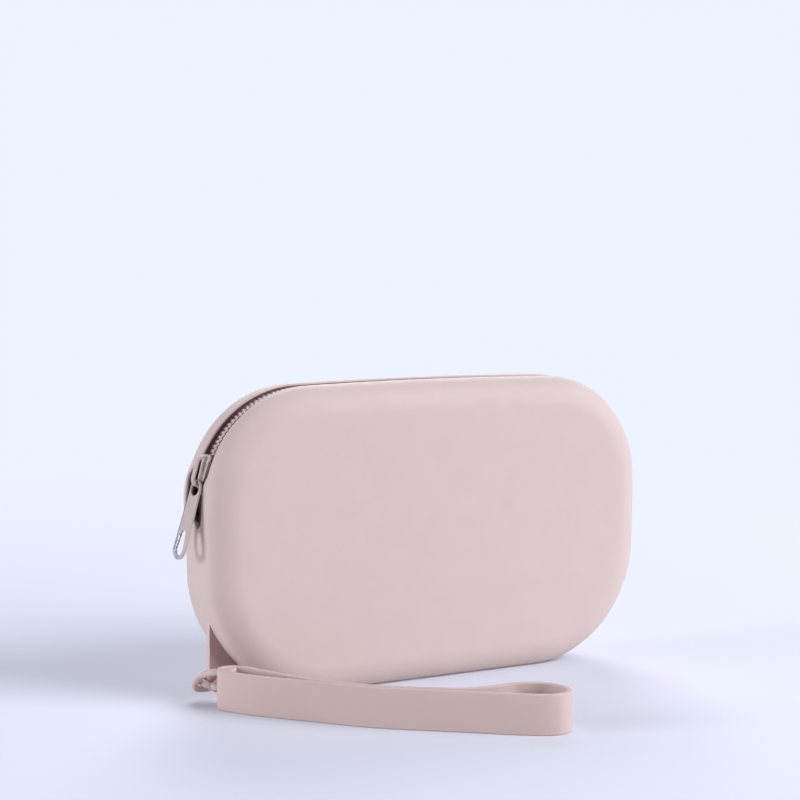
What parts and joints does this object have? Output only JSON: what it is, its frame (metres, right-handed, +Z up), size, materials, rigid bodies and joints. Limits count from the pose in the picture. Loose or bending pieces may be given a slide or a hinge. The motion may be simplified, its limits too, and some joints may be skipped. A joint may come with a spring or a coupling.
{
  "type": "zip pouch",
  "caption": "Soft rounded silicone pouch with a zip along its top and corners, a pull tab, and a looped wrist strap tied to a corner lug.",
  "frame": {"origin": "the middle of the flat base that the pouch stands on, in the plane of its widest section", "axes": "+X runs along the pouch to its right end, -Y points out of its front face and +Z points up"},
  "size_m": [0.1801, 0.113, 0.1037],
  "materials": {
    "silicone": "matte, blush pink",
    "zip_tape": "woven tape in shade",
    "zip_coil": "moulded coil, blush pink",
    "painted_metal": "painted pink, worn to grey at its edges",
    "bare_steel": "bare spring strip"
  },
  "bodies": {
    "shell": {"lower_shell": "silicone", "bottom_stop": "painted_metal", "front_top_stop": "painted_metal", "rear_top_stop": "painted_metal"},
    "front_flap": {"front_upper_shell": "silicone", "front_tape": "zip_tape", "front_coil": "zip_coil"},
    "rear_flap": {"rear_upper_shell": "silicone", "rear_tape": "zip_tape", "rear_coil": "zip_coil"},
    "slider": {"slider_body": "painted_metal", "slider_crown": "painted_metal", "lock_spring": "bare_steel"},
    "pull": {"pull_tab": "painted_metal"},
    "strap_link": {"strap_neck": "silicone"},
    "strap": {"wrist_strap": "silicone"}
  },
  "joints": [
    {"name": "front_flap_flex", "type": "hinge", "parent": "shell", "child": "front_flap", "pos_m": [0, -0.0125, 0.0548], "axis": [1, 0, 0], "range_deg": [0, 22], "stiffness_Nm_per_rad": 0.02, "deforming": ["front_tape", "front_coil"]},
    {"name": "rear_flap_flex", "type": "hinge", "parent": "shell", "child": "rear_flap", "pos_m": [0, 0.0165, 0.0548], "axis": [-1, 0, 0], "range_deg": [0, 22], "stiffness_Nm_per_rad": 0.02, "deforming": ["rear_tape", "rear_coil"]},
    {"name": "slider_travel", "type": "hinge", "parent": "rear_flap", "child": "slider", "pos_m": [-0.04805, 0, 0.06536], "axis": [0, 1, 0], "range_deg": [0, 68]},
    {"name": "pull_swing", "type": "hinge", "parent": "slider", "child": "pull", "pos_m": [-0.08698, 0, 0.07311], "axis": [0, 1, 0], "range_deg": [0, 140]},
    {"name": "strap_turn", "type": "hinge", "parent": "shell", "child": "strap_link", "pos_m": [-0.0815, 0, 0.0065], "axis": [0, 0, 1], "range_deg": [-75, 5], "deforming": ["strap_neck"]},
    {"name": "strap_lift", "type": "hinge", "parent": "strap_link", "child": "strap", "pos_m": [-0.08361, -0.00936, 0.0065], "axis": [-0.7373, -0.6756, 0], "range_deg": [-60, 32]}
  ]
}
